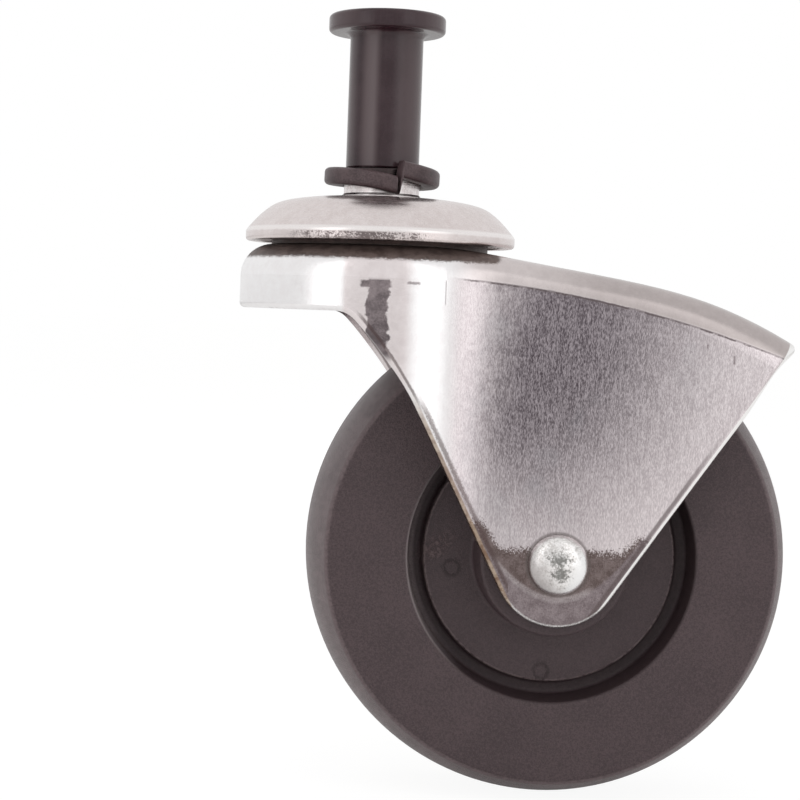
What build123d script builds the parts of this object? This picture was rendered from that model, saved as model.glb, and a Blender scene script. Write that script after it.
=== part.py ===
# Swivel castor for a tubular furniture leg.
# Millimetres. Z is up along the swivel axis and the wheel trails towards +X.
# The origin is on the swivel axis, half way up the flange of the plastic sleeve.

from build123d import *
from math import asin, atan2, cos, exp, hypot, pi, sin, sqrt
import os

# Fits and gaps
running_gap = 0.08        # radial gap of a part that turns on another
push_gap = 0.02           # radial gap of a part pushed on or in
seat_gap = 0.02           # gap between faces that are clamped together
ball_gap = 0.03           # gap between a ball and its groove
side_gap = 0.3            # gap between parts that pass each other

# Wheel
wheel_radius = 31.5
wheel_width = 17.0
tread_crown_radius = 15.7
trail = 23.15             # swivel axis to axle, seen from the side
crown_to_wheel = 7.9      # top of the fork to the top of the wheel

# Wheel face
rim_width = 13.0          # tread to the edge of the sunk middle
groove_width = 2.2
web_depth = 2.5           # web below the wheel's side face
groove_depth = 4.5        # groove below the wheel's side face
hub_radius = 9.5

# Axle
rivet_radius = 2.5
rivet_head_overhang = 1.3
rivet_head_height = 2.1
rivet_foot_overhang = 1.5
rivet_foot_height = 1.4
tube_wall = 1.5
washer_width = 2.8
washer_thickness = 0.5

# Upper balls and race
upper_ball_radius = 2.0
upper_ball_count = 17
upper_ball_spacing = 0.2  # between neighbouring balls
race_thickness = 1.5
race_margin = 0.95        # race beyond the balls, on both sides
race_floor = 0.5          # race under the balls
cap_bite = 0.15           # ball inside the underside of the cap

# Lower balls and race
lower_ball_radius = 1.6
lower_ball_count = 13
lower_ball_spacing = 0.33
lower_ball_bite = 0.3     # ball inside the underside of the crown
lower_race_margin = 0.7
lower_race_thickness = 1.7
lower_race_bite = 0.75    # ball inside the lower race

# Fork, pressed from one sheet
sheet = 1.8
fork_half_width = 14.5
blend_radius = 14.7       # where the bell runs into the flat cheeks
bend_radius = 4.2         # outside of the bend between roof and cheeks
crown_step = 0.1          # crown above the roof around it
crown_overlap = 0.2       # crown beyond the start of the bend
skirt_depth = 8.6         # crown down to the edge of the skirt
leg_tip_radius = 8.0
tail_short = 1.45         # tail ends this much before the wheel's rear
edge_round = 0.7          # edges rolled over by the press
king_hole_gap = 1.1       # hole in the crown beyond the shank
roof_start = 6.0          # swivel axis to where the roof starts to fall
# Roof stations along X from the axle and drop below the crown, in wheel radii
roof_shape = [(-0.180, 0.041), (0.230, 0.105), (0.598, 0.190), (0.846, 0.295), (1.233, 0.540)]
# Rear edge along X from the tail's end and drop below the crown, in wheel radii
tail_shape = [(-0.232, 0.648), (-0.140, 0.498), (-0.083, 0.422), (0, 0.365), (0.222, 0.254)]
# Front edge along X from the swivel axis and drop below the skirt
front_shape = [(-5.9, 0), (-3.1, 1.45), (0.4, 5.6), (4.4, 11.7)]

# Stem
stem_radius = 3.15
stem_top_z = 0.3
collar_height = 3.85
collar_overhang = 0.15    # collar beyond the sleeve
collar_foot_flare = 0.3
shank_step = 0.35         # shank beyond the stem
peen_overhang = 2.1
peen_height = 1.7

# Plastic sleeve
sleeve_wall = 1.7
sleeve_bottom_z = -19.2
flange_radius = 7.75
flange_thickness = 2.4
flange_edge_round = 0.55
flange_root_round = 0.9

# Split ring
ring_slack = 0.4          # radial gap round the sleeve
ring_set_in = 0.1         # ring inside the flange's edge
ring_thickness = 2.25
ring_lift = 2.7           # middle of the ring above the cap
ring_gap_angle = 3.0      # degrees between the ends
ring_split_angle = -72.0  # degrees from +X round Z
ring_low_end = 1.25
ring_high_end = 0.95
ring_tilt = 1.5              # degrees that the ring hangs down towards the wheel

# Cap
cap_sheet = 1.6
cap_set_in = 0.5          # cap inside the edge of the bell
cap_rim_gap = 0.3         # cap's lower edge above the crown
cap_rim_height = 1.5
cap_flat_radius = 6.0
cap_dome_drop = 0.45      # dome below its flat top over the balls
cap_shoulder = (3.1, 1.45)   # radius beyond the balls, drop below the top

# Radii worked out from the values above
upper_ball_circle = upper_ball_count * (2 * upper_ball_radius + upper_ball_spacing) / (2 * pi)
lower_ball_circle = lower_ball_count * (2 * lower_ball_radius + lower_ball_spacing) / (2 * pi)
race_inner_radius = upper_ball_circle - upper_ball_radius - race_margin
crown_radius = upper_ball_circle + upper_ball_radius + race_margin
lower_race_radius = lower_ball_circle + lower_ball_radius + lower_race_margin
bell_radius = crown_radius - crown_overlap + bend_radius
cap_radius = bell_radius - cap_set_in
sleeve_radius = stem_radius + sleeve_wall
collar_radius = sleeve_radius + collar_overhang
shank_radius = stem_radius + shank_step
king_hole_radius = shank_radius + king_hole_gap
peen_radius = shank_radius + peen_overhang
ring_inner_radius = sleeve_radius + ring_slack
ring_outer_radius = flange_radius - ring_set_in
rivet_head_radius = rivet_radius + rivet_head_overhang
rivet_foot_radius = rivet_radius + rivet_foot_overhang
tube_radius = rivet_radius + tube_wall
washer_radius = tube_radius + washer_width
wheel_bore_radius = tube_radius + running_gap
recess_radius = wheel_radius - rim_width
web_edge_radius = recess_radius - groove_width

# Heights and places worked out from the values above
flange_top_z = flange_thickness / 2
flange_under_z = -flange_thickness / 2
cap_top_z = sleeve_bottom_z - collar_height
collar_top_z = sleeve_bottom_z - seat_gap
collar_foot_z = cap_top_z + seat_gap
ring_z = cap_top_z + ring_lift
cap_under_z = cap_top_z - cap_dome_drop - cap_sheet
upper_ball_z = cap_under_z + cap_bite - upper_ball_radius
race_bottom_z = upper_ball_z - upper_ball_radius - ball_gap - race_floor
race_top_z = race_bottom_z + race_thickness
crown_z = race_bottom_z - seat_gap
cap_rim_z = crown_z + cap_rim_gap
crown_under_z = crown_z - sheet
lower_ball_z = crown_under_z + lower_ball_bite - lower_ball_radius
lower_race_top_z = lower_ball_z - lower_ball_radius + lower_race_bite
lower_race_bottom_z = lower_race_top_z - lower_race_thickness
skirt_z = crown_z - skirt_depth
axle_z = crown_z - crown_to_wheel - wheel_radius
axle_place = (trail, 0, axle_z)
cheek_inside = fork_half_width - sheet
washer_face = cheek_inside - seat_gap
hub_face = washer_face - washer_thickness - side_gap
tail_x = trail + wheel_radius - tail_short
roof_line = [(trail + x * wheel_radius, crown_z - drop * wheel_radius) for x, drop in roof_shape]
tail_line = [(tail_x + x * wheel_radius, crown_z - drop * wheel_radius) for x, drop in tail_shape]
front_line = [(x, skirt_z - drop) for x, drop in front_shape]
hood_end = roof_line[-1][0]


# Sketches and turned parts

def section(points, rounds=()):
    face = make_face(Polyline(*points, close=True))
    for place, radius in rounds:
        corner = face.vertices().sort_by_distance((place[0], place[1], 0))[0]
        face = fillet(corner, radius)
    return face


def turned_upright(face):
    return revolve(Plane.XZ * face, Axis.Z)


def turned_on_axle(face):
    return revolve(Plane(origin=axle_place) * face, Axis(axle_place, (0, 1, 0)))


def upright_disc(radius, low, high):
    return Pos(0, 0, (low + high) / 2) * Cylinder(radius, high - low)


def ball_track(circle, ball_radius, height):
    return Pos(0, 0, height) * Torus(circle, ball_radius + ball_gap)


def ball_set(count, circle, ball_radius, height):
    balls = []
    for i in range(count):
        turn = 2 * pi * i / count
        balls.append(Pos(circle * cos(turn), circle * sin(turn), height) * Sphere(ball_radius))
    return balls


# Stem, sleeve and ring

def make_stem():
    foot_z = lower_race_bottom_z - seat_gap
    collar_foot_radius = collar_radius + collar_foot_flare
    chamfer_size = 0.6
    outline = [
        (0, stem_top_z), (stem_radius - chamfer_size, stem_top_z), (stem_radius, stem_top_z - chamfer_size),
        (stem_radius, collar_top_z), (collar_radius, collar_top_z),
        (collar_radius, collar_foot_z + 0.5), (collar_foot_radius, collar_foot_z + 0.2),
        (collar_foot_radius, collar_foot_z), (shank_radius, collar_foot_z),
        (shank_radius, foot_z), (peen_radius, foot_z),
        (peen_radius, foot_z - 0.45 * peen_height), (0.6 * peen_radius, foot_z - peen_height),
        (0, foot_z - peen_height),
    ]
    rounds = [((collar_radius, collar_top_z), 0.3), (outline[11], 0.8), (outline[12], 0.8)]
    return turned_upright(section(outline, rounds))


def make_sleeve():
    bore = stem_radius + push_gap
    mouth = 0.5
    outline = [
        (bore + mouth, flange_top_z), (flange_radius, flange_top_z), (flange_radius, flange_under_z),
        (sleeve_radius, flange_under_z), (sleeve_radius, sleeve_bottom_z), (bore, sleeve_bottom_z),
        (bore, flange_top_z - mouth),
    ]
    rounds = [
        (outline[1], flange_edge_round), (outline[2], flange_edge_round),
        (outline[3], flange_root_round), (outline[4], 0.25),
    ]
    return turned_upright(section(outline, rounds))


def ring_height(turn):
    # The ends spring apart, the first one down and the last one up.
    low = ring_low_end * exp(-turn / 0.12)
    high = ring_high_end * exp(-(1 - turn) / 0.12)
    return ring_z - low + high


def make_split_ring():
    width = ring_outer_radius - ring_inner_radius
    middle = (ring_outer_radius + ring_inner_radius) / 2
    stations = 32
    slices = []
    for i in range(stations + 1):
        turn = i / stations
        degrees = ring_split_angle - ring_gap_angle / 2 - turn * (360 - ring_gap_angle)
        place = Rot(0, 0, degrees) * Pos(middle, 0, ring_height(turn))
        slices.append(place * (Plane.XZ * RectangleRounded(width, ring_thickness, 0.35)))
    return Pos(0, 0, ring_z) * Rot(0, ring_tilt, 0) * Pos(0, 0, -ring_z) * loft(slices)


# Cap and races

def cap_curve(inset):
    # Dome from its flat top down to the rim, moved inwards by the inset.
    points = [
        (cap_flat_radius, cap_top_z),
        (upper_ball_circle, cap_top_z - cap_dome_drop),
        (upper_ball_circle + cap_shoulder[0], cap_top_z - cap_shoulder[1]),
        (cap_radius - 0.1, cap_rim_z + cap_rim_height),
    ]
    outer = Spline(*points, tangents=[(1, 0), (0.62, -0.78)])
    if inset == 0:
        return outer
    moved = []
    for u in (0, 0.35, 0.65, 0.9):
        along = outer % u
        place = outer @ u
        moved.append((place.X + along.Y * inset, place.Y - along.X * inset))
    return Spline(*moved, tangents=[outer % 0, outer % 0.9])


def make_cap():
    outer = cap_curve(0)
    inner = cap_curve(cap_sheet)
    hole = shank_radius + push_gap
    inner_wall = cap_radius - cap_sheet
    start, end = outer @ 0, outer @ 1
    inner_start, inner_end = inner @ 0, inner @ 1
    edges = [
        outer,
        Polyline(end, (cap_radius, cap_rim_z + cap_rim_height - 0.2), (cap_radius, cap_rim_z),
                 (inner_wall, cap_rim_z), (inner_wall, inner_end.Y - 0.5), inner_end),
        inner,
        Polyline(inner_start, (hole, cap_top_z - cap_sheet), (hole, cap_top_z), start),
    ]
    face = make_face(edges)
    for x, radius in ((cap_radius, 0.5), (inner_wall, 0.3)):
        corner = face.vertices().sort_by_distance((x, cap_rim_z, 0))[0]
        face = fillet(corner, radius)
    return turned_upright(face) - ball_track(upper_ball_circle, upper_ball_radius, upper_ball_z)


def make_upper_race():
    outline = [
        (race_inner_radius, race_bottom_z), (crown_radius, race_bottom_z),
        (crown_radius, race_top_z), (race_inner_radius, race_top_z),
    ]
    ring = turned_upright(section(outline, [(outline[2], 0.3)]))
    return ring - ball_track(upper_ball_circle, upper_ball_radius, upper_ball_z)


def make_lower_race():
    bore = shank_radius + push_gap
    outline = [
        (bore, lower_race_bottom_z), (lower_race_radius, lower_race_bottom_z),
        (lower_race_radius, lower_race_top_z), (bore, lower_race_top_z),
    ]
    ring = turned_upright(section(outline, [(outline[1], 0.6), (outline[2], 0.3)]))
    return ring - ball_track(lower_ball_circle, lower_ball_radius, lower_ball_z)


# Fork

# Centre of the reverse curve between the bell and a flat cheek, seen from above
blend_y = fork_half_width + blend_radius
blend_x = sqrt((bell_radius + blend_radius) ** 2 - blend_y ** 2)


def plan_outline(inset):
    # Round bell in front, then a reverse curve into the flat cheeks.
    bell = bell_radius - inset
    half = fork_half_width - inset
    bulge = blend_radius + inset
    reach = bell_radius + blend_radius
    touch = (blend_x * bell / reach, blend_y * bell / reach)
    angle = atan2(touch[1] - blend_y, touch[0] - blend_x)
    middle = (angle - pi / 2) / 2
    swing = (blend_x + bulge * cos(middle), blend_y + bulge * sin(middle))
    right = [
        ThreePointArc(touch, swing, (blend_x, half)),
        Line((blend_x, half), (hood_end, half)),
    ]
    left = [
        ThreePointArc((touch[0], -touch[1]), (swing[0], -swing[1]), (blend_x, -half)),
        Line((blend_x, -half), (hood_end, -half)),
    ]
    front = ThreePointArc((touch[0], -touch[1]), (-bell, 0), touch)
    back = Line((hood_end, -half), (hood_end, half))
    return make_face([front] + right + left + [back])


def roof_region(inset):
    # Everything under the roof line, moved inwards by the inset.
    top = crown_z - crown_step
    outer = Spline((roof_start, top), *roof_line, tangents=[(1, 0), (1, -0.72)])
    moved = []
    for u in (0, 0.2, 0.4, 0.6, 0.8, 1):
        along = outer % u
        place = outer @ u
        moved.append((place.X + along.Y * inset, place.Y - along.X * inset))
    curve = Spline(*moved, tangents=[outer % 0, outer % 1])
    start, end = curve @ 0, curve @ 1
    low = axle_z - wheel_radius
    front = -2 * bell_radius
    far = hood_end + 5
    outline = Polyline(start, (front, start.Y), (front, low), (far, low), (far, end.Y), end)
    return extrude(Plane.XZ * make_face([curve, outline]), 2 * bell_radius, both=True)


def hood(inset):
    foot_z = axle_z - wheel_radius / 2
    foot = Pos(0, 0, foot_z) * plan_outline(inset)
    body = extrude(foot, crown_z + 2 - foot_z) & roof_region(inset)
    rim = []
    for edge in body.edges():
        middle = edge @ 0.5
        low = edge.bounding_box().min.Z
        across = abs(middle.Y) < 0.5 and middle.X > 0
        if low > roof_line[-1][1] - 3 and not across:
            rim.append(edge)
    return fillet(rim, bend_radius - inset)


def tangent_from(point, side):
    # Where a straight edge from a point touches the round tip of the leg.
    dx, dz = point[0] - trail, point[1] - axle_z
    far = hypot(dx, dz)
    turn = atan2(dz, dx) + side * (pi / 2 - asin(leg_tip_radius / far))
    return (trail + leg_tip_radius * cos(turn), axle_z + leg_tip_radius * sin(turn))


def leg_region():
    # Side view of what is left when the press has cut the legs and the tail.
    front_top, rear_top = front_line[-1], tail_line[0]
    front_touch = tangent_from(front_top, 1)
    rear_touch = tangent_from(rear_top, -1)
    front_slope = (front_touch[0] - front_top[0], front_touch[1] - front_top[1])
    rear_slope = (rear_top[0] - rear_touch[0], rear_top[1] - rear_touch[1])
    ahead = -2 * bell_radius
    far_end = tail_line[-1]
    edges = [
        Line((ahead, skirt_z), front_line[0]),
        Spline(*front_line, tangents=[(1, 0), front_slope]),
        Line(front_top, front_touch),
        ThreePointArc(front_touch, (trail, axle_z - leg_tip_radius), rear_touch),
        Line(rear_touch, rear_top),
        Spline(*tail_line, tangents=[rear_slope, (1, 0.4)]),
        Polyline(far_end, (hood_end + 10, crown_z + 10), (ahead, crown_z + 10), (ahead, skirt_z)),
    ]
    return extrude(Plane.XZ * make_face(edges), 2 * bell_radius, both=True)


def on_outer_wall(point):
    if point.X > blend_x:
        return abs(abs(point.Y) - fork_half_width) < 0.01
    from_bell = hypot(point.X, point.Y) - bell_radius
    from_blend = hypot(point.X - blend_x, abs(point.Y) - blend_y) - blend_radius
    return abs(from_bell) < 0.01 or abs(from_blend) < 0.01


def pressed_edges(fork):
    # Outer edges of the skirt, of its curve into the legs and of the legs.
    chosen = []
    for edge in fork.edges():
        box = edge.bounding_box()
        if not (on_outer_wall(edge @ 0.5) and on_outer_wall(edge @ 0.1)):
            continue
        upright = box.size.X < 0.01 and box.size.Y < 0.01
        below_skirt = box.max.Z < skirt_z + 0.01
        on_leg = box.size.Z > 4 and box.min.Z < front_line[-1][1] + 1
        if not upright and (below_skirt or on_leg):
            chosen.append(edge)
    return chosen


def make_fork():
    crown = upright_disc(crown_radius, crown_z - sheet - crown_step, crown_z)
    crown_hollow = upright_disc(crown_radius - sheet, crown_under_z - bend_radius, crown_under_z)
    shell = (hood(0) + crown) - (hood(sheet) + crown_hollow)
    fork = shell & leg_region()
    fork -= upright_disc(king_hole_radius, crown_under_z - 5, crown_z + 1)
    fork -= ball_track(lower_ball_circle, lower_ball_radius, lower_ball_z)
    fork = fillet(pressed_edges(fork), min(edge_round, 0.45 * sheet))
    hole = Pos(*axle_place) * Rot(90, 0, 0) * Cylinder(rivet_radius + push_gap, 4 * fork_half_width)
    fork -= hole
    # The rivet's ends sit flat even where the blend into the bell reaches them.
    seat_radius = rivet_foot_radius + seat_gap
    for side in (-1, 1):
        middle = side * (fork_half_width + seat_gap / 2 + bell_radius / 2)
        fork -= Pos(trail, middle, axle_z) * Rot(90, 0, 0) * Cylinder(seat_radius, bell_radius)
    return fork


# Axle and wheel

def make_rivet():
    head_y = -fork_half_width - seat_gap
    foot_y = fork_half_width + seat_gap
    brim = 0.35
    head_top = (0, head_y - rivet_head_height)
    head_edge = (rivet_head_radius, head_y - brim)
    head_swell = (0.68 * rivet_head_radius, head_y - 0.77 * rivet_head_height)
    foot_end = foot_y + rivet_foot_height
    face = make_face([
        ThreePointArc(head_top, head_swell, head_edge),
        Polyline(
            head_edge, (rivet_head_radius, head_y), (rivet_radius, head_y), (rivet_radius, foot_y),
            (rivet_foot_radius, foot_y), (rivet_foot_radius, foot_y + 0.4),
            (0.7 * rivet_foot_radius, foot_end), (0, foot_end), head_top,
        ),
    ])
    return turned_on_axle(face)


def make_axle_tube():
    inner = rivet_radius + push_gap
    end = washer_face
    outline = [(inner, -end), (tube_radius, -end), (tube_radius, end), (inner, end)]
    return turned_on_axle(section(outline))


def make_washer(side):
    inner = tube_radius + push_gap
    low, high = sorted((side * washer_face, side * (washer_face - washer_thickness)))
    outline = [(inner, low), (washer_radius, low), (washer_radius, high), (inner, high)]
    return turned_on_axle(section(outline))


def make_wheel():
    half = wheel_width / 2
    corner_radius = wheel_radius - tread_crown_radius + sqrt(tread_crown_radius ** 2 - half ** 2)
    web = half - web_depth
    groove = half - groove_depth
    top = [
        (corner_radius, half), (recess_radius, half), (recess_radius - 0.25, groove),
        (web_edge_radius + 0.25, groove), (web_edge_radius, web), (hub_radius + 0.3, web),
        (hub_radius, hub_face), (wheel_bore_radius, hub_face),
    ]
    bottom = [(x, -y) for x, y in reversed(top)]
    edges = [
        ThreePointArc((corner_radius, -half), (wheel_radius, 0), (corner_radius, half)),
        Polyline(*top, *bottom),
    ]
    face = make_face(edges)
    for side in (-1, 1):
        for place, radius in ((top[0], 0.5), (top[1], 0.35), (top[4], 0.2), (top[6], 0.5)):
            corner = face.vertices().sort_by_distance((place[0], side * place[1], 0))[0]
            face = fillet(corner, radius)
    return turned_on_axle(face)


# Write one file for each piece

pieces = {
    "stem": make_stem(),
    "sleeve": make_sleeve(),
    "split_ring": make_split_ring(),
    "cap": make_cap(),
    "upper_race": make_upper_race(),
    "lower_race": make_lower_race(),
    "fork": make_fork(),
    "axle_rivet": make_rivet(),
    "axle_tube": make_axle_tube(),
    "hub_washer_near": make_washer(-1),
    "hub_washer_far": make_washer(1),
    "wheel": make_wheel(),
}
for i, ball in enumerate(ball_set(upper_ball_count, upper_ball_circle, upper_ball_radius, upper_ball_z)):
    pieces[f"upper_ball_{i + 1:02d}"] = ball
for i, ball in enumerate(ball_set(lower_ball_count, lower_ball_circle, lower_ball_radius, lower_ball_z)):
    pieces[f"lower_ball_{i + 1:02d}"] = ball

os.makedirs("parts", exist_ok=True)
for name, piece in pieces.items():
    export_step(piece, f"parts/{name}.step")
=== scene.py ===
import math
import bmesh
import bpy
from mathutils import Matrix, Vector


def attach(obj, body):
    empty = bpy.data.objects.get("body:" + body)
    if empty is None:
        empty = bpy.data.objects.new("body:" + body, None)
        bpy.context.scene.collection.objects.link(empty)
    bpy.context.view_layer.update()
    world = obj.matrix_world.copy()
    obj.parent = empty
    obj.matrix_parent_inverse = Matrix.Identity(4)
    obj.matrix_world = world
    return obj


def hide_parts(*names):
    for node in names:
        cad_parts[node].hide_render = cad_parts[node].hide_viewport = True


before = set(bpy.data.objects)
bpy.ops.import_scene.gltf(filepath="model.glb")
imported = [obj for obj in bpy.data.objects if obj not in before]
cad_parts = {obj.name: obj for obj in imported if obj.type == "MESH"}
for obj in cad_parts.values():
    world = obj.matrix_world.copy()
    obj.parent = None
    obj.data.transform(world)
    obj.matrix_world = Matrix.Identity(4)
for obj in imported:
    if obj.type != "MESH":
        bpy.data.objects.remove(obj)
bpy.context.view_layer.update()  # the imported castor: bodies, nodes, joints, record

mm = 0.001
axle = (23.15, 0.0, -68.9)  # middle of the wheel, in mm
print("castor loaded,", len(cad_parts), "pieces")


# Studio and camera

studio = {
    "camera": (-11.34, -250.0, -37.57),  # mm
    "lens": 84.6,
    "roll": 2.1,  # degrees
    "shift": (0.135, -0.119),
    "floorZ": -100.4,
    "floorColour": (0.90, 0.89, 0.88, 1),
    "floorGlow": 1.08,
    "floorSeen": 0.85,
    "floorGloss": 0.3,
    "skyLight": 0.56,
    "skyGloss": 0.86,
    # name: place, aim, width, height (all in m), radiance
    "lamps": {
        "softboxLeft": ((-0.42, -0.40, 0.02), (0.0, 0.0, -0.05), 0.30, 0.50, 1.35),
        "softboxRight": ((0.40, -0.36, 0.02), (0.02, 0.0, -0.05), 0.26, 0.50, 1.25),
        "softboxTop": ((0.0, -0.10, 0.55), (0.0, 0.0, -0.05), 0.70, 0.60, 0.95),
    },
    # name: low corner, high corner, how far the left, right, lower and upper sides fade (all in mm), strength
    "boards": {
        "boardLeft": ((-560, -420), (-152, 500), (330, 30, 60, 200), 1.38),
        "boardRight": ((62, -420), (520, 500), (150, 330, 60, 200), 1.28),
    },
    "boardDepth": -262,
}


def cleanSelection():
    if bpy.context.mode != "OBJECT":
        bpy.ops.object.mode_set(mode="OBJECT")
    bpy.ops.object.select_all(action="DESELECT")


class Field:
    # wraps a socket, so that shader maths reads as plain sums
    def __init__(self, tree, socket):
        self.tree = tree
        self.socket = socket

    def make(self, kind, settings=None, links=None, out=0):
        node = self.tree.nodes.new(kind)
        for name, value in (settings or {}).items():
            setattr(node, name, value)
        for name, value in (links or {}).items():
            if isinstance(value, Field):
                self.tree.links.new(value.socket, node.inputs[name])
            else:
                node.inputs[name].default_value = value
        return Field(self.tree, node.outputs[out])

    def maths(self, operation, first, second=0.0):
        return self.make("ShaderNodeMath", {"operation": operation}, {0: first, 1: second})

    def __add__(self, other):
        return self.maths("ADD", self, other)

    __radd__ = __add__

    def __sub__(self, other):
        return self.maths("SUBTRACT", self, other)

    def __rsub__(self, other):
        return self.maths("SUBTRACT", other, self)

    def __mul__(self, other):
        return self.maths("MULTIPLY", self, other)

    __rmul__ = __mul__

    def __truediv__(self, other):
        return self.maths("DIVIDE", self, other)

    def __pow__(self, other):
        return self.maths("POWER", self, other)

    def __gt__(self, other):
        return self.maths("GREATER_THAN", self, other)

    def __lt__(self, other):
        return self.maths("LESS_THAN", self, other)

    def size(self):
        return self.maths("ABSOLUTE", self)

    def root(self):
        return self.maths("SQRT", self)

    def wave(self):
        return self.maths("SINE", self)

    def least(self, other):
        return self.maths("MINIMUM", self, other)

    def most(self, other):
        return self.maths("MAXIMUM", self, other)

    def fade(self, low, high):  # 0 at low, 1 at high, smooth between
        ends = {0: self, 1: low, 2: high, 3: 0.0, 4: 1.0}
        return self.make("ShaderNodeMapRange", {"interpolation_type": "SMOOTHSTEP"}, ends)

    def stretch(self, x, y, z):  # scales a vector
        return self.make("ShaderNodeVectorMath", {"operation": "MULTIPLY"}, {0: self, 1: (x, y, z)})

    def noise(self, scale, detail=2.0, rough=0.5, twist=0.0):
        links = {"Vector": self, "Scale": scale, "Detail": detail, "Roughness": rough, "Distortion": twist}
        return self.make("ShaderNodeTexNoise", {}, links)

    def axes(self):
        split = self.make("ShaderNodeSeparateXYZ", {}, {0: self})
        return [Field(self.tree, split.socket.node.outputs[i]) for i in range(3)]

    def blend(self, first, second):  # two colours, by this mask
        return self.make("ShaderNodeMix", {"data_type": "RGBA"}, {0: self, 6: first, 7: second}, 2)

    def bump(self, strength, distance, under=None):
        links = {"Strength": strength, "Distance": distance, "Height": self}
        if under is not None:
            links["Normal"] = under
        return self.make("ShaderNodeBump", {}, links)


def startMaterial(name):
    material = bpy.data.materials.new(name)
    material.use_nodes = True
    tree = material.node_tree
    shader = tree.nodes["Principled BSDF"]
    spot = tree.nodes.new("ShaderNodeTexCoord")
    place = Field(tree, spot.outputs["Object"]).stretch(1000.0, 1000.0, 1000.0)  # mm
    return material, shader, place


def setShader(shader, **values):
    for name, value in values.items():
        socket = shader.inputs[name.replace("_", " ")]
        if isinstance(value, Field):
            shader.id_data.links.new(value.socket, socket)
        else:
            socket.default_value = value


def makeCamera():
    data = bpy.data.cameras.new("camera")
    data.lens = studio["lens"]
    data.sensor_width = 36.0
    data.shift_x, data.shift_y = studio["shift"]
    data.clip_start = 0.01
    camera = bpy.data.objects.new("camera", data)
    bpy.context.scene.collection.objects.link(camera)
    camera.location = [v * mm for v in studio["camera"]]
    camera.rotation_euler = (math.radians(90), math.radians(-studio["roll"]), 0)
    bpy.context.scene.camera = camera


def addLamp(name, place, aim, width, height, radiance):
    data = bpy.data.lights.new(name, "AREA")
    data.shape = "RECTANGLE"
    data.size, data.size_y = width, height
    data.energy = radiance * math.pi * width * height
    lamp = bpy.data.objects.new(name, data)
    bpy.context.scene.collection.objects.link(lamp)
    lamp.location = place
    lamp.rotation_euler = (Vector(aim) - Vector(place)).to_track_quat("-Z", "Y").to_euler()
    lamp.visible_glossy = False  # the boards stand for it in reflections


def rayMasks(tree):
    # rays that meet a surface straight or through something clear, and rays that meet it mirrored
    rays = tree.nodes.new("ShaderNodeLightPath")
    seen = Field(tree, rays.outputs["Is Camera Ray"]).most(Field(tree, rays.outputs["Is Transmission Ray"]))
    return seen, Field(tree, rays.outputs["Is Glossy Ray"])


def layGlow(tree, amount, under, strength):
    # lets a glow cover a shader by the given share
    glow = tree.nodes.new("ShaderNodeEmission")
    glow.inputs["Strength"].default_value = strength
    mix = tree.nodes.new("ShaderNodeMixShader")
    tree.links.new(amount.socket, mix.inputs[0])
    tree.links.new(under.outputs[0], mix.inputs[1])
    tree.links.new(glow.outputs[0], mix.inputs[2])
    tree.links.new(mix.outputs[0], tree.nodes["Material Output"].inputs[0])


def makeSky():
    world = bpy.data.worlds.new("studioSky")
    bpy.context.scene.world = world
    world.use_nodes = True
    tree = world.node_tree
    tree.nodes.clear()
    seen, gloss = rayMasks(tree)
    light = gloss * studio["skyGloss"] + (1 - gloss) * studio["skyLight"]
    strength = seen + (1 - seen) * light
    back = tree.nodes.new("ShaderNodeBackground")
    back.inputs["Color"].default_value = (1, 1, 1, 1)
    tree.links.new(strength.socket, back.inputs["Strength"])
    out = tree.nodes.new("ShaderNodeOutputWorld")
    tree.links.new(back.outputs[0], out.inputs[0])


def makeFloor():
    cleanSelection()
    spot = (0, 0, studio["floorZ"] * mm)
    bpy.ops.mesh.primitive_circle_add(vertices=96, radius=6.0, fill_type="NGON", location=spot)
    floor = bpy.context.object
    floor.name = "studioFloor"
    material = bpy.data.materials.new("palePaper")
    material.use_nodes = True
    tree = material.node_tree
    shader = tree.nodes["Principled BSDF"]
    shader.inputs["Base Color"].default_value = studio["floorColour"]
    shader.inputs["Roughness"].default_value = 0.9
    seen, gloss = rayMasks(tree)
    seen = seen.most(gloss * studio["floorGloss"])
    layGlow(tree, seen * studio["floorSeen"], shader, studio["floorGlow"])
    floor.data.materials.append(material)


def makeBoard(name, low, high, soft, strength):
    # a pale board that shows only in reflections
    cleanSelection()
    middle = [(a + b) / 2 for a, b in zip(low, high)]
    spot = (middle[0] * mm, studio["boardDepth"] * mm, middle[1] * mm)
    bpy.ops.mesh.primitive_plane_add(size=1, location=spot, rotation=(math.pi / 2, 0, 0))
    board = bpy.context.object
    board.name = name
    board.scale = ((high[0] - low[0]) * mm, (high[1] - low[1]) * mm, 1)
    bpy.ops.object.transform_apply(location=True, rotation=True, scale=True)
    material, _, place = startMaterial(name)
    x, _, z = place.axes()
    left, right, under, over = soft
    mask = x.fade(low[0], low[0] + left) * x.fade(high[0], high[0] - right)
    mask = mask * z.fade(low[1], low[1] + under) * z.fade(high[1], high[1] - over)
    tree = material.node_tree
    layGlow(tree, mask, tree.nodes.new("ShaderNodeBsdfTransparent"), strength)
    board.data.materials.append(material)
    board.visible_camera = False
    board.visible_diffuse = False
    board.visible_shadow = False
    board.visible_transmission = False


makeCamera()
makeSky()
makeFloor()
for name, values in studio["lamps"].items():
    addLamp(name, *values)
for name, values in studio["boards"].items():
    makeBoard(name, *values)
bpy.context.scene.view_settings.view_transform = "Standard"
print("studio made")


# Turned pieces

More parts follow.
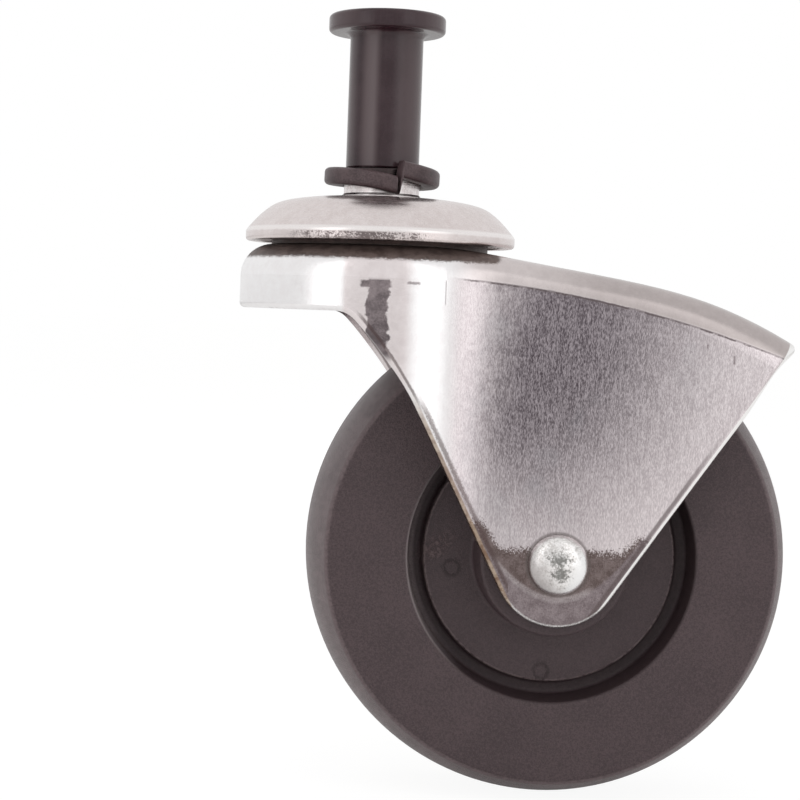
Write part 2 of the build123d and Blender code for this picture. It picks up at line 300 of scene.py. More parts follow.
def turnPiece(name, profile, steps, rounds=(), alongY=False, centre=(0.0, 0.0, 0.0)):
    # walks a ring of edges along the profile, (radius, height) in mm; a radius of 0 closes it on the axis
    cleanSelection()
    turn = (math.pi / 2, 0, 0) if alongY else (0, 0, 0)
    up = Vector((0, 1, 0)) if alongY else Vector((0, 0, 1))
    origin = Vector(centre)
    points = [p for p in profile if p[0] > 0]
    radius, height = points[0]
    bpy.ops.mesh.primitive_circle_add(
        vertices=steps, radius=radius * mm, fill_type="TRIFAN" if profile[0][0] == 0 else "NOTHING",
        location=(origin + up * height) * mm, rotation=turn)
    piece = bpy.context.object
    piece.name = name
    piece.data.name = name
    bpy.ops.object.transform_apply(location=True, rotation=True, scale=True)
    bpy.ops.object.mode_set(mode="EDIT")
    bpy.ops.mesh.select_mode(type="EDGE")
    bpy.ops.mesh.select_all(action="DESELECT")
    bpy.ops.mesh.select_non_manifold()
    path = points[1:] + ([(0, profile[-1][1])] if profile[-1][0] == 0 else [points[0]])
    for nextRadius, nextHeight in path:
        bpy.ops.mesh.extrude_edges_move(TRANSFORM_OT_translate={"value": up * (nextHeight - height) * mm})
        grow = nextRadius / radius if nextRadius > 0 else 0.0
        if abs(grow - 1) > 1e-7:
            size = (grow, 1, grow) if alongY else (grow, grow, 1)
            bpy.ops.transform.resize(value=size, center_override=(origin + up * nextHeight) * mm)
        if nextRadius == 0:
            bpy.ops.mesh.merge(type="CENTER")
        radius, height = nextRadius, nextHeight
    bpy.ops.mesh.select_all(action="SELECT")
    bpy.ops.mesh.remove_doubles(threshold=2e-6)
    bpy.ops.mesh.normals_make_consistent(inside=False)
    for radius, height, width, segments in rounds:
        chooseRing(piece, radius, height, alongY, origin)
        bpy.ops.mesh.bevel(offset=width * mm, segments=segments, profile=0.5, affect="EDGES", clamp_overlap=True)
    bpy.ops.object.mode_set(mode="OBJECT")
    return piece


def chooseRing(piece, radius, height, alongY, origin, slack=0.004):
    bpy.ops.mesh.select_all(action="DESELECT")
    mesh = bmesh.from_edit_mesh(piece.data)

    def onRing(vertex):
        spot = vertex.co / mm - origin
        if alongY:
            across, along = Vector((spot.x, spot.z)).length, spot.y
        else:
            across, along = Vector((spot.x, spot.y)).length, spot.z
        return abs(across - radius) < slack and abs(along - height) < slack

    for edge in mesh.edges:
        if onRing(edge.verts[0]) and onRing(edge.verts[1]):
            edge.select_set(True)
    bmesh.update_edit_mesh(piece.data)


def applyModifier(piece, kind, **settings):
    cleanSelection()
    piece.select_set(True)
    bpy.context.view_layer.objects.active = piece
    modifier = piece.modifiers.new(kind.lower(), kind)
    for name, value in settings.items():
        setattr(modifier, name, value)
    bpy.ops.object.modifier_apply(modifier=modifier.name)


def finishPiece(piece, body, nodes, material, angle=40):
    cleanSelection()
    piece.select_set(True)
    bpy.context.view_layer.objects.active = piece
    bpy.ops.object.shade_smooth_by_angle(angle=math.radians(angle))
    applyModifier(piece, "WEIGHTED_NORMAL", keep_sharp=True, weight=50)
    piece.data.materials.clear()
    piece.data.materials.append(material)
    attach(piece, body)
    if nodes:
        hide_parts(*nodes)


def curvePoints(points, startSlope, endSlope, steps):
    # a smooth curve through points in the radius-height plane
    tangents = [Vector(startSlope)]
    for before, after in zip(points, points[2:]):
        tangents.append((Vector(after) - Vector(before)).normalized())
    tangents.append(Vector(endSlope))
    made = []
    for i in range(len(points) - 1):
        a, b = Vector(points[i]), Vector(points[i + 1])
        reach = (b - a).length
        ta, tb = tangents[i].normalized() * reach, tangents[i + 1].normalized() * reach
        for k in range(steps):
            t = k / steps
            spot = a * (2 * t ** 3 - 3 * t ** 2 + 1) + ta * (t ** 3 - 2 * t ** 2 + t)
            spot += b * (3 * t ** 2 - 2 * t ** 3) + tb * (t ** 3 - t ** 2)
            made.append((spot.x, spot.y))
    return made + [tuple(points[-1])]


# Finishes

wheelMarks = {
    "gates": [((10.6, -70.9), 1.35, 0.75), ((22.7, -83.85), 1.3, 0.7)],  # place, outer and inner radius of the ring
    "burr": (8.4, -68.35),
    "burrTurn": (0.79, 0.61),
    "side": -4.0,  # the marks lie on the near side only
}


def wheelPlastic():
    material, shader, place = startMaterial("wheelPlastic")
    x, y, z = place.axes()
    dx, dz = x - axle[0], z - axle[2]
    reach = (dx * dx + dz * dz).root()
    cloud = place.noise(0.16, 3.0, 0.55)
    speck = place.noise(2.6, 4.0, 0.75)
    fine = place.noise(5.5, 3.0, 0.75)
    side = y.size().fade(7.9, 8.45)
    web = reach.fade(18.9, 18.6)
    groove = web * reach.fade(16.2, 16.5)
    tone = 0.12 * cloud + 0.38 * speck + 0.50 * fine
    worn = tone.fade(0.42, 0.58)
    base = worn.blend((0.043, 0.026, 0.029, 1), (0.082, 0.054, 0.058, 1))
    base = (web * 0.35).blend(base, (0.045, 0.028, 0.031, 1))
    # painted shade: the groove is darkened where shade falls in it
    base = (groove * 0.30).blend(base, (0.022, 0.012, 0.013, 1))
    # painted light: the left side of the recess wall is painted paler, as lit, with a painted highlight line along
    # its outer edge
    lit = x.fade(13.0, 4.0) * web
    litWallTone = worn.blend((0.115, 0.088, 0.091, 1), (0.165, 0.130, 0.134, 1))
    base = (lit * reach.fade(17.3, 17.7) * 0.9).blend(base, litWallTone)
    litEdgeLine = lit * (reach - 18.45).size().fade(0.35, 0.10)
    base = (litEdgeLine * 0.8).blend(base, (0.36, 0.31, 0.315, 1))
    # the tread is painted paler than the faces: partly scuffs from rolling, partly painted sheen of its matt surface
    tread = (1 - side) * (1 - web)
    drag = place.stretch(1.0, 0.25, 1.0).noise(1.4, 3.0, 0.6)
    palerMask = (0.5 * cloud + 0.5 * drag).fade(0.38, 0.62)
    base = (tread * 0.8).blend(base, palerMask.blend((0.132, 0.101, 0.104, 1), (0.190, 0.147, 0.151, 1)))
    # painted highlight along the rounded edge between face and tread
    brink = (reach - 29.0).size().fade(0.42, 0.10) * y.size().fade(7.6, 8.2)
    base = (brink * (0.35 + 0.4 * speck.fade(0.4, 0.6))).blend(base, (0.17, 0.125, 0.130, 1))
    # painted highlight along the inner edge of the groove
    ridge = web * reach.fade(15.95, 16.15) * reach.fade(16.45, 16.3)
    base = (ridge * 0.6 * speck.fade(0.38, 0.55)).blend(base, (0.20, 0.155, 0.155, 1))
    near = y < wheelMarks["side"]
    mark = 0.0
    for (gateX, gateZ), outer, inner in wheelMarks["gates"]:
        gate = ((x - gateX) ** 2 + (z - gateZ) ** 2).root() + (speck - 0.5) * 1.6
        mark = mark + gate.fade(outer, outer - 0.25) * gate.fade(inner, inner + 0.25)
    mark = mark * near
    (burrX, burrZ), (turnX, turnZ) = wheelMarks["burr"], wheelMarks["burrTurn"]
    burrAcross = (x - burrX) * turnZ - (z - burrZ) * turnX
    burrAlong = (x - burrX) * turnX + (z - burrZ) * turnZ
    burr = ((burrAcross * 1.5) ** 2 + (burrAlong * 0.7) ** 2).root().fade(2.6, 0.9)
    burr = burr * speck.fade(0.46, 0.56) * near
    base = (burr * 0.7).blend(base, (0.150, 0.105, 0.105, 1))
    base = (mark * (0.4 + speck.fade(0.45, 0.6) * 0.5)).blend(base, (0.020, 0.012, 0.012, 1))
    rough = 0.50 + 0.16 * (speck - 0.5) + 0.03 * (cloud - 0.5) - 0.12 * tread
    height = 0.8 * speck + 1.2 * fine + 0.2 * cloud
    relief = height.bump(0.45, 0.00018)
    relief = (mark * 0.8 + burr * speck).bump(0.5, 0.00012, relief)
    setShader(shader, Base_Color=base, Roughness=rough, Normal=relief, IOR=1.48)
    return material


def sleevePlastic():
    material, shader, place = startMaterial("sleevePlastic")
    x, _, z = place.axes()
    cloud = place.noise(0.35, 3.0, 0.5)
    fine = place.noise(6.0, 3.0, 0.6)
    drawn = place.stretch(1.0, 1.0, 0.08).noise(1.3, 3.0, 0.6)
    tone = (0.50 * cloud + 0.25 * fine + 0.25 * drawn).fade(0.38, 0.62)
    base = tone.blend((0.024, 0.007, 0.011, 1), (0.040, 0.019, 0.024, 1))
    flange = z.fade(-1.5, -1.2)
    sheen = (x + 2.1).size().fade(1.5, 0.4).most(x.fade(0.5, 3.2) * 0.75).most(x.fade(-3.6, -4.4) * 0.5)
    sheen = sheen * (1 - flange)
    sheen = sheen.most(x.size().fade(2.6, 6.0) * flange * 0.7)
    base = sheen.blend(base, (0.100, 0.070, 0.074, 1))
    rough = 0.20 + 0.08 * (fine - 0.5) + 0.05 * (drawn - 0.5)
    relief = (0.4 * fine + 0.4 * drawn + cloud).bump(0.10, 0.00012)
    setShader(shader, Base_Color=base, Roughness=rough, Normal=relief, IOR=1.47)
    return material


def ringPlastic():
    material, shader, place = startMaterial("ringPlastic")
    cloud = place.noise(0.5, 3.0, 0.5)
    fine = place.noise(4.5, 4.0, 0.7)
    tone = (0.4 * cloud + 0.6 * fine).fade(0.38, 0.62)
    base = tone.blend((0.040, 0.021, 0.024, 1), (0.096, 0.062, 0.066, 1))
    rough = 0.40 + 0.2 * (fine - 0.5)
    relief = (fine + cloud).bump(0.3, 0.00012)
    setShader(shader, Base_Color=base, Roughness=rough, Normal=relief, IOR=1.48)
    return material


def platedSheet():
    # bright plated steel: smooth on the bell, grained up and down on the cheeks, with a painted brown reflection
    # round the rivet and painted shade under the cap
    material, shader, place = startMaterial("platedSheet")
    x, y, z = place.axes()
    cloud = place.noise(0.09, 3.0, 0.5)
    mottle = place.noise(0.8, 4.0, 0.65)
    fine = place.noise(5.5, 3.0, 0.7)
    hair = place.stretch(10.5, 10.5, 2.3).noise(1.0, 2.0, 0.7)
    streak = place.stretch(3.4, 3.4, 0.40).noise(1.0, 3.0, 0.6)
    cheek = y.size().fade(17.2, 15.2) * x.fade(5.0, 9.5)
    crease = z + 33.45 - 0.0172 * x + 0.00373 * x * x + (mottle - 0.5) * 0.35
    panel = cheek * crease.fade(0.35, -0.25)
    soft = (0.45 * mottle + 0.35 * cloud + 0.2 * fine).fade(0.34, 0.66)
    bright = soft.blend((0.77, 0.700, 0.700, 1), (0.87, 0.805, 0.805, 1))
    sheenBands = (x.fade(-4.7, -5.4) + x.fade(2.4, 4.0) * x.fade(12.0, 8.0)).least(1.0)  # painted highlight: bands of the bell painted brighter where bright reflections fall
    bright = (sheenBands * 0.9).blend(bright, soft.blend((0.92, 0.895, 0.90, 1), (0.98, 0.975, 0.98, 1)))
    # painted reflection: the roof is painted darker, and its tail darker still
    roof = crease.fade(-0.1, 0.4) * x.fade(8.0, 14.0)
    bright = (roof * 0.9).blend(bright, soft.blend((0.60, 0.540, 0.535, 1), (0.68, 0.615, 0.605, 1)))
    tail = roof * x.fade(16.0, 30.0)
    bright = (tail * 0.85).blend(bright, soft.blend((0.44, 0.390, 0.380, 1), (0.51, 0.455, 0.445, 1)))
    # painted reflection: the middle of each cheek is painted dark, grained light and dark
    grain = (0.74 * hair + 0.26 * streak).fade(0.38, 0.63)
    across = x - 20.6 - 0.2 * (z + 42.0) + (mottle - 0.5) * 5.0
    wide = (across / 24.0).most(across / -9.8)
    down = (z + 41.0 + (cloud - 0.5) * 8.0) / 31.0
    darkReflection = (wide * wide + down * down).root().fade(1.14, 0.16)
    lit = grain.blend((0.60, 0.535, 0.550, 1), (0.80, 0.735, 0.745, 1))
    dim = grain.blend((0.095, 0.076, 0.088, 1), (0.400, 0.355, 0.380, 1))
    blue = place.stretch(1.0, 1.0, 0.7).noise(0.11, 2.0, 0.5).fade(0.50, 0.62)
    dim = (blue * 0.35).blend(dim, (0.16, 0.185, 0.205, 1))
    face = darkReflection.blend(lit, dim)
    # painted shadow under the crease
    fold = panel * crease.fade(-1.3, -0.1) * x.fade(9.0, 16.0) * x.fade(44.0, 34.0)
    face = (fold * 0.45 * (mottle * 0.5 + fine * 0.5).fade(0.40, 0.58)).blend(face, (0.10, 0.082, 0.090, 1))
    flat = panel * x.fade(5.4, 10.2)
    base = flat.blend(bright, face)
    # painted reflection: a brown patch round the rivet, paler below it
    dx, dz = x - axle[0], z - axle[2]
    reach = (dx * dx + dz * dz).root()
    tipLine = z + 67.15 - 3.4 * x.fade(16.4, 12.9) - 1.8 * x.fade(31.0, 33.5)
    tipLine = tipLine + (fine - 0.5) * 4.5 + (mottle - 0.5) * 1.6
    brownReflection = tipLine.fade(0.35, -0.35) * panel
    scoop = dz + 4.4 - 0.075 * dx * dx  # a paler band of the painted reflection passes under the rivet
    palerMask = scoop.size().fade(0.65, 0.15) * dx.fade(-9.5, -6.0) * dx.fade(5.0, 3.0)
    foot = scoop.fade(0.2, -0.4)
    blotch = (0.5 * mottle + 0.5 * fine).fade(0.36, 0.64)
    brownReflectionTone = blotch.blend((0.085, 0.056, 0.050, 1), (0.190, 0.145, 0.140, 1))
    brownReflectionTone = (foot * 0.75).blend(brownReflectionTone, blotch.blend((0.165, 0.130, 0.140, 1), (0.310, 0.262, 0.275, 1)))
    brownReflectionTone = (palerMask * 0.7).blend(brownReflectionTone, blotch.blend((0.28, 0.24, 0.245, 1), (0.46, 0.41, 0.415, 1)))
    base = (brownReflection * 0.94).blend(base, brownReflectionTone)
    # painted shade: the bell's shoulder under the cap is painted dark, as the shade and dark reflection of the gap
    middle = (x * x + y * y).root()
    gapShade = (z + 31.45 + (fine - 0.5) * 1.1 + (mottle - 0.5) * 0.6).fade(-0.2, 0.2)
    gapShade = gapShade * x.fade(15.2, 14.4) * middle.fade(19.8, 19.2)
    gapShadeTone = mottle.fade(0.4, 0.6).blend((0.056, 0.034, 0.028, 1), (0.110, 0.074, 0.064, 1))
    base = (gapShade * 0.98).blend(base, gapShadeTone)
    # a dark patch and scuffs on the near side of the bell
    near = y < -5.0
    slow = place.noise(0.55, 2.0, 0.5)
    sway = x + 1.0 - (z + 38.0).size() * 0.08
    darkPatch = (sway.size() + (slow - 0.5) * 2.6 + (fine - 0.5) * 0.35).fade(1.45, 1.15)
    bar = (x + 1.1 + (mottle - 0.5)).size().fade(2.1, 1.7)
    bar = bar * (z + 34.6 + (fine - 0.5) * 0.3).size().fade(0.55, 0.30)
    darkPatch = (darkPatch * z.fade(-44.5, -43.0) * z.fade(-33.8, -34.3) + bar).least(1.0)
    patchTone = (0.30 * fine + 0.25 * mottle + 0.45 * slow + (z + 37.0) * 0.012).fade(0.36, 0.62)
    base = (darkPatch * near * 0.9).blend(base, patchTone.blend((0.055, 0.038, 0.044, 1), (0.28, 0.230, 0.240, 1)))
    scratch = (x - 7.7).size().fade(0.11, 0.04) * z.fade(-37.1, -36.7) * z.fade(-33.7, -34.1)
    scuff = (x - 3.6).size().fade(1.0, 0.6) * (z + 34.35 + (fine - 0.5) * 0.5).size().fade(0.24, 0.08)
    tick = (x - 44.3).size().fade(0.18, 0.08) * (z + 42.5).size().fade(0.6, 0.45)
    nick = (x - 40.9).size().fade(0.15, 0.06) * (z + 40.9).size().fade(0.3, 0.2)
    base = ((scratch * 0.5 + scuff * 0.7 + (tick + nick) * 0.6).least(1.0) * near).blend(base, (0.19, 0.15, 0.155, 1))
    # painted shade: a thin dark line along the crease
    line = cheek * crease.size().fade(0.20, 0.06) * x.fade(8.0, 12.0) * (0.55 + 0.45 * mottle.fade(0.4, 0.55))
    base = (line * 0.85).blend(base, (0.085, 0.062, 0.066, 1))
    # rolled edges: a painted highlight behind with a painted shade line inside it, brown in front, with painted shade
    # lines along them
    frontEdge = -0.8904 * dx - 0.4552 * dz
    rearEdge = 0.8244 * dx - 0.5660 * dz
    tipEdge = reach * (dz < -3.6)
    legs = z.fade(-39.0, -41.0)
    lowLegs = z.fade(-47.0, -53.0)
    # painted highlight along the rolled rear edge and, dotted, round the tip
    dotted = tipEdge.fade(7.5, 7.75) * (0.35 + 0.5 * fine.fade(0.4, 0.6))
    rolled = rearEdge.fade(7.4, 7.55).most(dotted) * legs
    # painted shade line inside the rear edge
    rearLine = (rearEdge - 7.1).size().fade(0.40, 0.12) * legs * z.fade(-50.0, -60.0)
    base = (rearLine * 0.7).blend(base, (0.13, 0.10, 0.10, 1))
    base = (rolled * 0.97).blend(base, (1.0, 0.99, 0.98, 1))
    swerve = (z + 43.136 + 1.285 * x + 0.0464 * x * x) * 0.64  # depth behind the curve from the skirt into the leg
    # painted shade along the curve from the skirt into the leg, and along the front edge of the legs
    edgeShade = (swerve - 0.75 + (fine - 0.5) * 0.4).size().fade(0.30, 0.10) * x.fade(-3.6, -2.2) * x.fade(5.6, 3.8)
    legEdgeShade = (frontEdge - 6.95 + (fine - 0.5) * 0.8).size().fade(0.42, 0.12) * z.fade(-47.4, -51.0)
    edgeShade = edgeShade.most(legEdgeShade * (x < 17.0))
    base = (edgeShade * 0.7 * (x > -6.0)).blend(base, (0.105, 0.072, 0.070, 1))
    # brown along the front edges of the lower legs
    brown = frontEdge.fade(7.35, 7.55) * lowLegs
    frontBrown = mottle.fade(0.4, 0.6).blend((0.26, 0.16, 0.10, 1), (0.50, 0.39, 0.29, 1))
    base = (brown * 0.8).blend(base, frontBrown)
    rivetShade = reach.fade(4.25, 3.95) * panel
    base = (rivetShade * 0.6).blend(base, (0.13, 0.11, 0.105, 1))
    rough = 0.18 + 0.14 * (grain - 0.5) * flat + 0.10 * (mottle - 0.5) + 0.10 * (fine - 0.5)
    rough = rough + 0.30 * gapShade + 0.10 * brownReflection
    relief = (hair * 0.7 + streak * 0.3).bump(0.12, 0.00008)
    relief = (mottle + 0.5 * fine).bump(0.06, 0.00012, relief)
    setShader(shader, Base_Color=base, Metallic=1.0 - 0.85 * gapShade, Roughness=rough, Normal=relief)
    return material


def capSteel():
    material, shader, place = startMaterial("capSteel")
    x, y, z = place.axes()
    reach = (x * x + y * y).root()
    cloud = place.noise(0.12, 3.0, 0.5)
    mottle = place.noise(1.1, 4.0, 0.6)
    fine = place.noise(6.0, 3.0, 0.65)
    turned = (reach * 9.0 + mottle * 2.0).wave() * 0.5 + 0.5
    tone = (0.4 * cloud + 0.35 * mottle + 0.25 * fine).fade(0.35, 0.65)
    base = tone.blend((0.70, 0.625, 0.612, 1), (0.82, 0.752, 0.742, 1))
    # painted highlight: a bright line just above the rim
    band = (z + 27.75 + (mottle - 0.5) * 0.2).size().fade(0.45, 0.15)
    base = (band * 0.8).blend(base, (0.95, 0.91, 0.90, 1))
    rim = (z + 28.75).size().fade(0.75, 0.45)
    aside = (x + 3.0).size()
    spark = (fine * 0.55 + mottle * 0.45 + 0.06 * aside.fade(5.0, 1.0)).fade(0.46, 0.56)
    spark = spark * rim * aside.fade(11.0, 6.0) * (y < 0.0)
    base = (spark * 0.85).blend(base, (0.10, 0.070, 0.070, 1))
    shade = reach.fade(8.8, 7.2) * (fine * 0.5 + mottle * 0.5).fade(0.36, 0.56)
    darkPatch = ((x + 0.6) ** 2 / 10.0 + (y + 10.5) ** 2 / 1.2).fade(1.0, 0.3) * mottle.fade(0.42, 0.56)
    base = (shade * 0.65 + darkPatch * 0.5).least(1.0).blend(base, (0.15, 0.11, 0.11, 1))
    rough = 0.24 + 0.10 * (mottle - 0.5) + 0.05 * turned
    relief = (mottle + 0.25 * turned).bump(0.05, 0.0001)
    setShader(shader, Base_Color=base, Metallic=1.0, Roughness=rough, Normal=relief)
    return material


def stemSteel():
    material, shader, place = startMaterial("stemSteel")
    x, y, z = place.axes()
    mottle = place.noise(1.4, 3.0, 0.6)
    rings = (z * 22.0 + mottle * 3.0).wave() * 0.5 + 0.5
    base = mottle.fade(0.35, 0.65).blend((0.72, 0.655, 0.65, 1), (0.92, 0.87, 0.865, 1))
    # painted shade on the collar, between sleeve and ring
    collarShade = (z + (mottle - 0.5) * 0.8).fade(-20.9, -20.5) * z.fade(-18.0, -19.0)
    collarShade = collarShade * (x * x + y * y).root().fade(4.0, 4.3)
    base = (collarShade * 0.96).blend(base, (0.030, 0.018, 0.019, 1))
    rough = 0.28 + 0.14 * (mottle - 0.5) + 0.06 * rings
    relief = (0.4 * rings + mottle).bump(0.06, 0.0001)
    setShader(shader, Base_Color=base, Metallic=1.0, Roughness=rough, Normal=relief)
    return material


def rivetSteel():
    material, shader, place = startMaterial("rivetSteel")
    x, _, z = place.axes()
    dx, dz = x - axle[0], z - axle[2]
    mottle = place.noise(1.3, 4.0, 0.65, 0.4)
    fine = place.noise(4.2, 4.0, 0.7)
    upper = ((dx + 0.1) ** 2 / 2.0 + (dz - 0.8) ** 2 / 1.1).root()
    lower = ((dx - 0.15) ** 2 / 1.5 + (dz + 1.05) ** 2 / 1.0).root()
    patch = (upper.least(lower) + (fine - 0.5) * 3.0 + (mottle - 0.5) * 3.0).fade(1.20, 0.35)
    tone = (0.5 * mottle + 0.5 * fine).fade(0.38, 0.60)
    base = tone.blend((0.66, 0.63, 0.61, 1), (0.95, 0.93, 0.92, 1))
    # painted highlight on the lower right of the head
    rivetHighlight = (dx * 0.9 - dz * 0.35).fade(0.9, 2.6)
    base = rivetHighlight.blend(base, (1.0, 1.0, 1.0, 1))
    shadeRim = (dx * 0.75 + dz * 0.45).fade(-0.4, -3.0) * 0.75
    base = shadeRim.blend(base, (0.42, 0.385, 0.38, 1))
    scored = place.stretch(1.0, 1.0, 4.5).noise(1.1, 3.0, 0.6).fade(0.56, 0.66) * dz.fade(0.6, 1.8)
    base = (scored * 0.5).blend(base, (0.30, 0.29, 0.27, 1))
    base = (patch * 0.8).blend(base, (0.15, 0.15, 0.14, 1))
    rough = 0.20 + 0.20 * patch + 0.10 * (fine - 0.5)
    relief = (mottle + 0.4 * fine).bump(0.22, 0.00022)
    setShader(shader, Base_Color=base, Metallic=1.0, Roughness=rough, Normal=relief)
    return material


def darkSteel():
    material, shader, place = startMaterial("darkSteel")
    mottle = place.noise(0.8, 4.0, 0.65)
    fine = place.noise(4.0, 3.0, 0.6)
    tone = (0.6 * mottle + 0.4 * fine).fade(0.36, 0.62)
    base = tone.blend((0.030, 0.014, 0.012, 1), (0.085, 0.050, 0.044, 1))
    rough = 0.42 + 0.25 * (mottle - 0.5)
    relief = (mottle + 0.4 * fine).bump(0.25, 0.0001)
    setShader(shader, Base_Color=base, Metallic=0.35, Roughness=rough, Normal=relief)
    return material


def ballSteel():
    material, shader, place = startMaterial("ballSteel")
    mottle = place.noise(1.2, 3.0, 0.6)
    base = mottle.fade(0.4, 0.62).blend((0.55, 0.53, 0.52, 1), (0.30, 0.24, 0.21, 1))
    setShader(shader, Base_Color=base, Metallic=1.0, Roughness=0.16 + 0.2 * (mottle - 0.4))
    return material


finishes = {
    "wheel": wheelPlastic(),
    "sleeve": sleevePlastic(),
    "ring": ringPlastic(),
    "fork": platedSheet(),
    "cap": capSteel(),
    "stem": stemSteel(),
    "rivet": rivetSteel(),
    "dark": darkSteel(),
    "ball": ballSteel(),
}
print("finishes made")


# Pieces that keep their shape from the frame

def coatNode(name, material):
    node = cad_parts[name]
    node.data.materials.clear()
    node.data.materials.append(material)


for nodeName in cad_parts:
    if "_ball_" in nodeName:
        coatNode(nodeName, finishes["ball"])
for nodeName in ("upper_race", "lower_race"):
    coatNode(nodeName, finishes["dark"])
for nodeName in ("axle_tube", "hub_washer_near", "hub_washer_far"):
    coatNode(nodeName, finishes["stem"])
coatNode("fork", finishes["fork"])


# Wheel

wheel = {
    "radius": 31.49,
    "halfWidth": 8.5,
    "crownRadius": 15.7,
    "recess": 18.5,
    "webEdge": 16.3,
    "web": 6.0,  # faces of the web, from the middle
    "groove": 4.0,
    "hub": 9.5,
    "hubDraft": 0.3,
    "grooveDraft": 0.25,
    "hubFace": 11.88,
    "bore": 4.08,
    "partingLine": 0.05,  # how far it stands up
    "treadSteps": 14,
}


def makeWheel():
    w = wheel
    middle = w["radius"] - w["crownRadius"]
    steep = math.asin(w["halfWidth"] / w["crownRadius"])
    near = [
        (w["bore"], -w["hubFace"]), (w["hub"], -w["hubFace"]), (w["hub"] + w["hubDraft"], -w["web"]),
        (w["webEdge"], -w["web"]), (w["webEdge"] + w["grooveDraft"], -w["groove"]),
        (w["recess"] - w["grooveDraft"], -w["groove"]), (w["recess"], -w["halfWidth"]),
    ]
    tread = []
    for i in range(w["treadSteps"]):
        turn = -steep + steep * i / w["treadSteps"]
        across = (w["crownRadius"] - w["partingLine"]) * math.cos(turn)
        tread.append((middle + across, w["crownRadius"] * math.sin(turn)))
    tread.append((w["radius"] - w["partingLine"], -0.28))
    tread.append((w["radius"], -0.12))
    half = near + tread
    profile = half + [(r, -y) for r, y in reversed(half)]
    corner = tread[0]
    rounds = []
    for side in (-1, 1):
        rounds += [
            (corner[0], side * w["halfWidth"], 0.55, 4), (w["recess"], side * w["halfWidth"], 0.35, 3),
            (w["recess"] - w["grooveDraft"], side * w["groove"], 0.5, 3),
            (w["webEdge"] + w["grooveDraft"], side * w["groove"], 0.5, 3),
            (w["webEdge"], side * w["web"], 0.3, 3), (w["hub"] + w["hubDraft"], side * w["web"], 0.6, 3),
            (w["hub"], side * w["hubFace"], 0.5, 3), (w["bore"], side * w["hubFace"], 0.25, 2),
        ]
    piece = turnPiece("roadWheel", profile, 160, rounds, alongY=True, centre=axle)
    finishPiece(piece, "road_wheel", ["wheel"], finishes["wheel"])


makeWheel()
print("wheel made")


# Cap

cap = {
    "dome": [(6.0, -23.05), (11.364, -23.5), (14.464, -24.5), (17.714, -27.7)],
    "radius": 17.81,
    "rimTop": -27.9,
    "rim": -29.2,
    "wallTop": -28.0,
    "sheet": 1.6,
    "hole": 3.52,
}


def makeCap():
    c = cap
    outer = curvePoints(c["dome"], (1, 0), (0.62, -0.78), 7)
    inner = [(r - c["sheet"] * 0.35, z - c["sheet"]) for r, z in outer if r < 15.6]
    wall = c["radius"] - c["sheet"]
    top = c["dome"][0][1]
    profile = [(c["hole"], top)] + outer + [(c["radius"], c["rimTop"]), (c["radius"], c["rim"])]
    profile += [(wall, c["rim"]), (wall, c["wallTop"])]
    profile += list(reversed(inner)) + [(c["hole"], top - c["sheet"])]
    rounds = [(c["radius"], c["rim"], 0.45, 4), (wall, c["rim"], 0.25, 3), (c["hole"], top, 0.15, 2)]
    piece = turnPiece("capShell", profile, 144, rounds)
    finishPiece(piece, "mounting", ["cap"], finishes["cap"], 50)


makeCap()
print("cap made")


# Stem and sleeve

stem = {
    "radius": 3.15,
    "top": 0.3,
    "chamfer": 0.6,
    "collar": 5.0,
    "collarTop": -19.22,
    "collarFoot": -23.03,
    "flare": 5.3,
    "shank": 3.5,
    "peen": 5.6,
    "peenTop": -35.17,
    "peenBand": 0.77,
    "peenEnd": -36.87,
}

sleeve = {
    "flange": 7.75,
    "flangeHalf": 1.2,
    "radius": 4.85,
    "bottom": -19.2,
    "bore": 3.17,
    "mouth": 0.5,
}


def makeStem():
    s = stem
    profile = [
        (0, s["top"]), (s["radius"] - s["chamfer"], s["top"]), (s["radius"], s["top"] - s["chamfer"]),
        (s["radius"], s["collarTop"]), (s["collar"], s["collarTop"]), (s["collar"], s["collarFoot"] + 0.5),
        (s["flare"], s["collarFoot"] + 0.2), (s["flare"], s["collarFoot"]), (s["shank"], s["collarFoot"]),
        (s["shank"], s["peenTop"]), (s["peen"], s["peenTop"]), (s["peen"], s["peenTop"] - s["peenBand"]),
        (0.6 * s["peen"], s["peenEnd"]), (0, s["peenEnd"]),
    ]
    rounds = [
        (s["collar"], s["collarTop"], 0.3, 3), (s["radius"] - s["chamfer"], s["top"], 0.12, 2),
        (s["peen"], s["peenTop"] - s["peenBand"], 0.6, 4),
        (0.6 * s["peen"], s["peenEnd"], 0.5, 3),
    ]
    piece = turnPiece("stemPin", profile, 96, rounds)
    finishPiece(piece, "mounting", ["stem"], finishes["stem"])


def makeSleeve():
    s = sleeve
    profile = [
        (s["bore"] + s["mouth"], s["flangeHalf"]), (s["flange"], s["flangeHalf"]), (s["flange"], -s["flangeHalf"]),
        (s["radius"], -s["flangeHalf"]), (s["radius"], s["bottom"]), (s["bore"], s["bottom"]),
        (s["bore"], s["flangeHalf"] - s["mouth"]),
    ]
    rounds = [
        (s["flange"], s["flangeHalf"], 0.55, 5), (s["flange"], -s["flangeHalf"], 0.55, 5),
        (s["radius"], -s["flangeHalf"], 0.9, 6), (s["radius"], s["bottom"], 0.25, 3),
    ]
    piece = turnPiece("legSleeve", profile, 128, rounds)
    finishPiece(piece, "mounting", ["sleeve"], finishes["sleeve"])


makeStem()
makeSleeve()
print("stem and sleeve made")


# Split ring

splitRing = {
    "inner": 5.25,
    "outer": 7.65,
    "thickness": 2.25,
    "middle": -20.35,
    "rounding": 0.6,
    "endRounding": 0.2,
    "gap": 3.0,  # degrees
    "split": -72.0,
    "lowEnd": 1.25,
    "highEnd": 0.95,
    "tilt": 1.5,  # degrees down towards the wheel
    "spring": 0.12,  # share of a turn over which the ends bend away
}


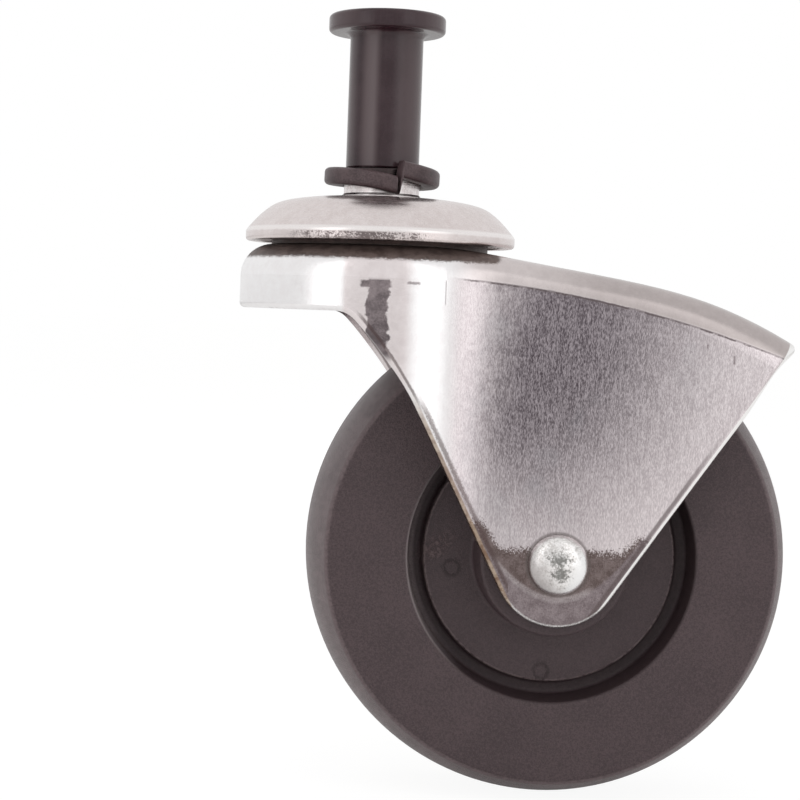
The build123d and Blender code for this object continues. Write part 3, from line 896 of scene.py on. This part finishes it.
def makeSplitRing():
    s = splitRing
    cleanSelection()
    width = s["outer"] - s["inner"]
    start = math.radians(s["split"] - s["gap"] / 2)
    bpy.ops.mesh.primitive_plane_add(size=1, rotation=(math.pi / 2, 0, 0))
    piece = bpy.context.object
    piece.name = "splitRing"
    piece.data.name = "splitRing"
    piece.scale = (width * mm, s["thickness"] * mm, 1)
    piece.location = ((s["inner"] + width / 2) * mm, 0, s["middle"] * mm)
    bpy.ops.object.transform_apply(location=True, rotation=True, scale=True)
    piece.rotation_euler = (0, 0, start)
    bpy.ops.object.transform_apply(location=False, rotation=True, scale=False)
    bpy.ops.object.mode_set(mode="EDIT")
    bpy.ops.mesh.select_all(action="SELECT")
    bpy.ops.mesh.bevel(offset=s["rounding"] * mm, segments=5, affect="VERTICES")
    bpy.ops.mesh.select_all(action="SELECT")
    sweep = math.radians(360 - s["gap"])
    bpy.ops.mesh.spin(steps=118, dupli=False, angle=sweep, center=(0, 0, 0), axis=(0, 0, -1))
    bpy.ops.mesh.select_all(action="SELECT")
    bpy.ops.mesh.remove_doubles(threshold=2e-6)
    mesh = bmesh.from_edit_mesh(piece.data)
    angles = [math.atan2(v.co.y, v.co.x) for v in mesh.verts]
    turns = [((start - a) % (2 * math.pi)) / sweep for a in angles]
    turns = [0.0 if t > 1.004 else min(t, 1.0) for t in turns]
    for vertex, turn in zip(mesh.verts, turns):
        low = s["lowEnd"] * math.exp(-turn / s["spring"])
        high = s["highEnd"] * math.exp(-(1 - turn) / s["spring"])
        vertex.co.z += (high - low) * mm
    bmesh.update_edit_mesh(piece.data)
    pivot = (0, 0, s["middle"] * mm)
    bpy.ops.transform.rotate(value=-math.radians(s["tilt"]), orient_axis="Y", center_override=pivot)
    bpy.ops.mesh.normals_make_consistent(inside=False)
    bpy.ops.object.mode_set(mode="OBJECT")
    applyModifier(piece, "BEVEL", width=s["endRounding"] * mm, segments=3, limit_method="ANGLE",
                  angle_limit=math.radians(50))
    finishPiece(piece, "mounting", ["split_ring"], finishes["ring"])


makeSplitRing()
print("split ring made")


# Axle rivet

rivet = {
    "radius": 2.5,
    "head": 3.8,
    "headHeight": 2.1,
    "foot": 4.0,
    "footHeight": 1.4,
    "faceY": 14.52,
}


def makeRivet():
    r = rivet
    near = -r["faceY"]
    brim = near - 0.35
    top = near - r["headHeight"]
    swell = (0.68 * r["head"], near - 0.77 * r["headHeight"])
    dome = curvePoints([(0.02, top), swell, (r["head"], brim)], (1, 0), (0.25, 1), 7)
    foot = r["faceY"]
    profile = [(0, top)] + dome[1:] + [
        (r["head"], near), (r["radius"], near), (r["radius"], foot), (r["foot"], foot),
        (r["foot"], foot + 0.4), (0.7 * r["foot"], foot + r["footHeight"]), (0, foot + r["footHeight"]),
    ]
    rounds = [(r["foot"], foot + 0.4, 0.3, 3), (0.7 * r["foot"], foot + r["footHeight"], 0.4, 3)]
    piece = turnPiece("axleRivet", profile, 72, rounds, alongY=True, centre=axle)
    finishPiece(piece, "swivel_fork", ["axle_rivet"], finishes["rivet"])


makeRivet()
print("rivet made")
